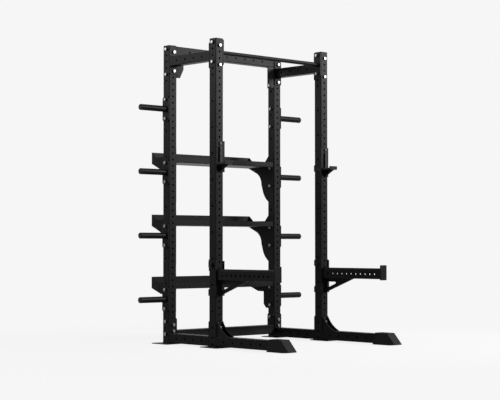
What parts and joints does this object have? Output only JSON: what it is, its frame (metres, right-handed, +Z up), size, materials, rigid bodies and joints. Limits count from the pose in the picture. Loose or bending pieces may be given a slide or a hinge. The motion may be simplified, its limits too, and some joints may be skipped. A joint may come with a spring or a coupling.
{
  "type": "half rack",
  "caption": "Black steel half rack with a bolted base, pull-up bar, weight plate pegs, storage trays, barbell cups and hinged spotter arms.",
  "frame": {"origin": "on the floor, at the centre of the overall box: half way between the left and right peg tips, and half way between the front feet's tips and the trays' backs", "axes": "+X from the rack's left side, as seen from the front, to its right side; -Y out of the front, along the spotter arms; +Z up"},
  "size_m": [1.7826, 1.6726, 2.3926],
  "materials": {
    "black_powder_coat": "satin powder coat",
    "black_sheet_steel": "satin powder coat on bent sheet",
    "zinc_plated_steel": "bright zinc plate",
    "black_oxide_steel": "black oxide, smooth",
    "rubber_foot": "moulded, matte",
    "plastic_cap": "moulded, fine grain",
    "slide_plastic": "machined, waxy"
  },
  "bodies": {
    "rack": {"upright_front_left": "black_powder_coat", "upright_front_right": "black_powder_coat", "upright_rear_left": "black_powder_coat", "upright_rear_right": "black_powder_coat", "base_side_tube_left": "black_powder_coat", "base_side_tube_right": "black_powder_coat", "base_front_leg_left": "black_powder_coat", "base_front_leg_right": "black_powder_coat", "base_gussets_left": "black_powder_coat", "base_gussets_right": "black_powder_coat", "side_crossmember_left": "black_powder_coat", "side_crossmember_right": "black_powder_coat", "storage_peg_1_left": "black_powder_coat", "storage_peg_1_right": "black_powder_coat", "storage_peg_2_left": "black_powder_coat", "storage_peg_2_right": "black_powder_coat", "storage_peg_3_left": "black_powder_coat", "storage_peg_3_right": "black_powder_coat", "storage_peg_4_left": "black_powder_coat", "storage_peg_4_right": "black_powder_coat", "floor_plates": "black_powder_coat", "base_rear_crossmember": "black_powder_coat", "rear_crossmember": "black_powder_coat", "pullup_bar": "black_powder_coat", "tray_pan_bottom": "black_sheet_steel", "tray_brackets_bottom": "black_powder_coat", "tray_pan_middle": "black_sheet_steel", "tray_brackets_middle": "black_powder_coat", "tray_pan_top": "black_sheet_steel", "tray_brackets_top": "black_powder_coat", "front_foot_left": "rubber_foot", "front_foot_right": "rubber_foot", "upright_caps": "plastic_cap", "storage_peg_caps": "plastic_cap", "frame_bolts": "zinc_plated_steel", "frame_nuts": "zinc_plated_steel", "frame_washers": "black_oxide_steel", "storage_bolts": "zinc_plated_steel", "storage_nuts": "zinc_plated_steel", "storage_washers": "black_oxide_steel"},
    "bar_cup_left": {"bar_cup_frame_left": "black_powder_coat", "bar_cup_liner_left": "slide_plastic", "bar_cup_peg_left": "black_oxide_steel", "bar_cup_liner_bolts_left": "black_oxide_steel"},
    "spotter_arm_left": {"spotter_bracket_left": "black_powder_coat", "spotter_tube_left": "black_powder_coat", "spotter_strip_left": "slide_plastic", "spotter_stop_left": "black_powder_coat", "spotter_rib_left": "black_powder_coat"},
    "cross_pin_left": {"spotter_pin_left": "black_oxide_steel"},
    "bar_cup_right": {"bar_cup_frame_right": "black_powder_coat", "bar_cup_liner_right": "slide_plastic", "bar_cup_peg_right": "black_oxide_steel", "bar_cup_liner_bolts_right": "black_oxide_steel"},
    "spotter_arm_right": {"spotter_bracket_right": "black_powder_coat", "spotter_tube_right": "black_powder_coat", "spotter_strip_right": "slide_plastic", "spotter_stop_right": "black_powder_coat", "spotter_rib_right": "black_powder_coat"},
    "cross_pin_right": {"spotter_pin_right": "black_oxide_steel"}
  },
  "joints": [
    {"name": "bar_cup_left_turn", "type": "hinge", "parent": "rack", "child": "bar_cup_left", "pos_m": [-0.5842, -0.0362, 1.5748], "axis": [0, -1, 0], "range_deg": [0, 90]},
    {"name": "spotter_arm_left_tip", "type": "hinge", "parent": "rack", "child": "spotter_arm_left", "pos_m": [-0.5842, 0.0019, 0.635], "axis": [-1, 0, 0], "range_deg": [0, 80]},
    {"name": "cross_pin_left_draw", "type": "slide", "parent": "spotter_arm_left", "child": "cross_pin_left", "axis": [-1, 0, 0], "range_m": [0, 0.1]},
    {"name": "bar_cup_right_turn", "type": "hinge", "parent": "rack", "child": "bar_cup_right", "pos_m": [0.5842, -0.0362, 1.5748], "axis": [0, 1, 0], "range_deg": [0, 90]},
    {"name": "spotter_arm_right_tip", "type": "hinge", "parent": "rack", "child": "spotter_arm_right", "pos_m": [0.5842, 0.0019, 0.635], "axis": [-1, 0, 0], "range_deg": [0, 80]},
    {"name": "cross_pin_right_draw", "type": "slide", "parent": "spotter_arm_right", "child": "cross_pin_right", "axis": [1, 0, 0], "range_m": [0, 0.1]}
  ]
}
